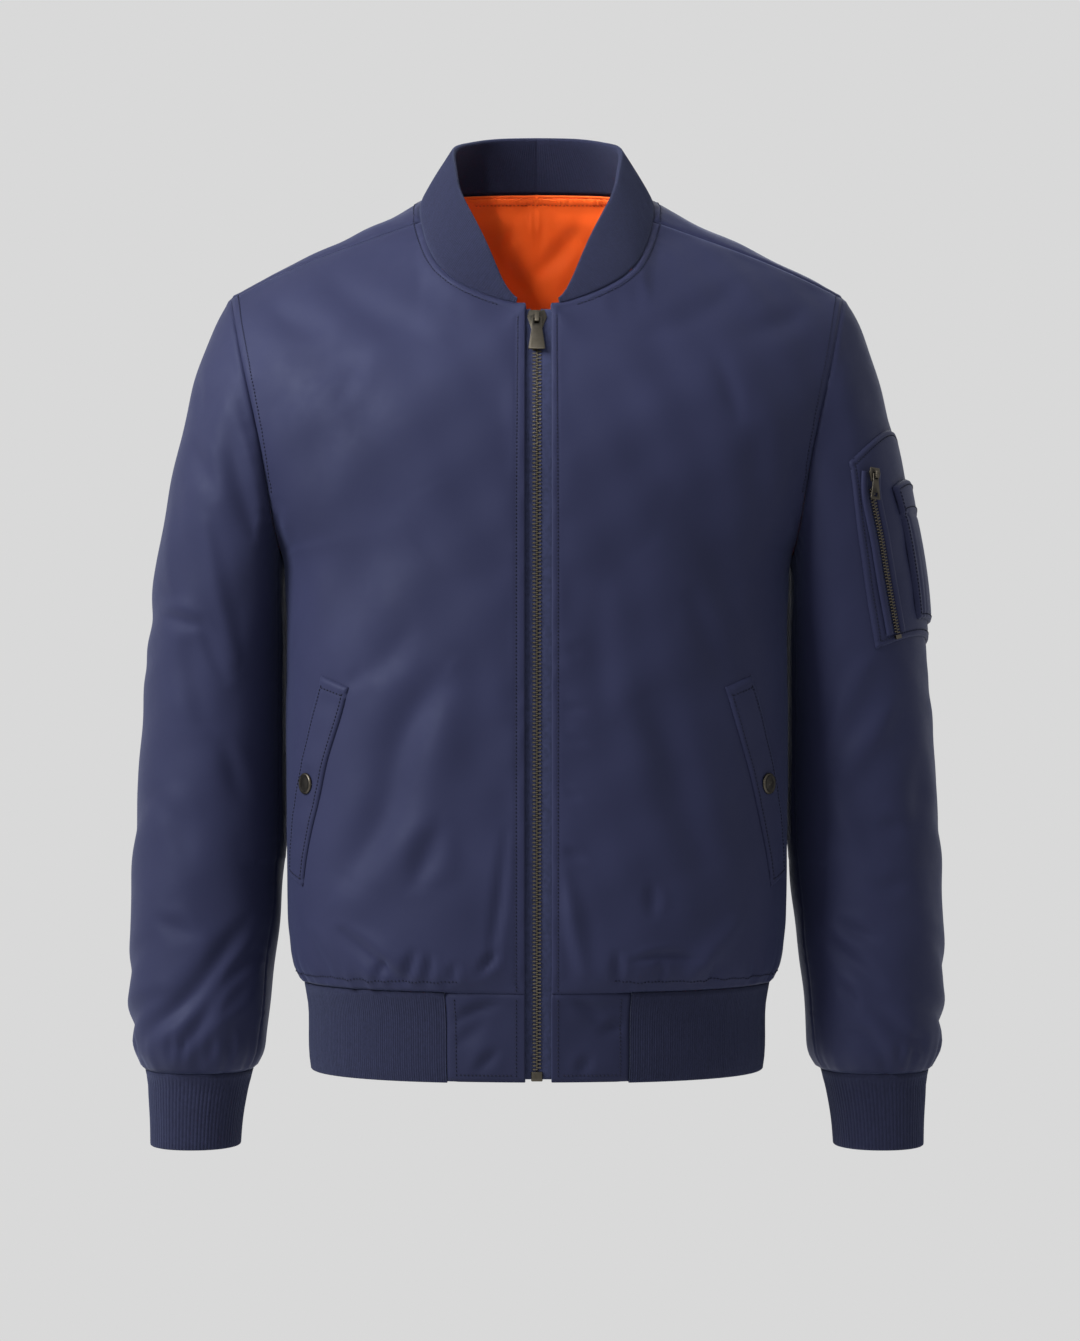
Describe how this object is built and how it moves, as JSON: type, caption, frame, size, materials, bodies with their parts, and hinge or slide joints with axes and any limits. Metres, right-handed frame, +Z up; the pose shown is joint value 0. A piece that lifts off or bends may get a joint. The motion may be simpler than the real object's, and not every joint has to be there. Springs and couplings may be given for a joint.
{
  "type": "bomber jacket",
  "caption": "Hip-length bomber jacket, filled out with no wearer: zip front, rib-knit collar, cuffs and hem, slanted hand pockets and a zipped sleeve pocket.",
  "frame": {"origin": "in the middle of the neck, level with the neck point of the shoulder seams, where the wearer's shoulders hold the jacket up", "axes": "+Z up, towards the collar; -Y out of the zipped front; +X towards the wearer's left, where the sleeve pocket is"},
  "size_m": [0.6254, 0.2747, 0.7766],
  "materials": {
    "shell": "navy nylon satin twill with a soft sheen",
    "rib_knit": "matt navy rib knit",
    "lining": "bright orange nylon lining",
    "zip_tape": "woven navy zip tape",
    "dark_brass": "darkened antique brass"
  },
  "bodies": {
    "jacket": {"back": "shell", "collar": "rib_knit", "cuff_left": "rib_knit", "cuff_right": "rib_knit", "front_left": "shell", "front_right": "shell", "hem_patch_left": "shell", "hem_patch_right": "shell", "hem_rib": "rib_knit", "lining_back": "lining", "pen_pocket": "shell", "pocket_welt_left": "shell", "pocket_welt_right": "shell", "sleeve_left": "shell", "sleeve_pocket": "shell", "sleeve_right": "shell", "sleeve_zip_chain": "dark_brass", "sleeve_zip_slider": "dark_brass", "sleeve_zip_stop": "dark_brass", "sleeve_zip_tape": "zip_tape", "snap_left": "dark_brass", "snap_right": "dark_brass", "zip_box": "dark_brass", "zip_chain": "dark_brass", "zip_slider": "dark_brass", "zip_tape_left": "zip_tape", "zip_tape_right": "zip_tape"},
    "front_pull": {"zip_pull": "dark_brass"},
    "sleeve_pull": {"sleeve_zip_pull": "dark_brass"}
  },
  "joints": [
    {"name": "front_pull_hinge", "type": "hinge", "parent": "jacket", "child": "front_pull", "pos_m": [0, -0.09526, -0.09337], "axis": [-1, 0, 0], "range_deg": [0, 140]},
    {"name": "sleeve_pull_hinge", "type": "hinge", "parent": "jacket", "child": "sleeve_pull", "pos_m": [0.25374, -0.06388, -0.20753], "axis": [-0.8228, -0.557, 0.113], "range_deg": [0, 140]}
  ]
}
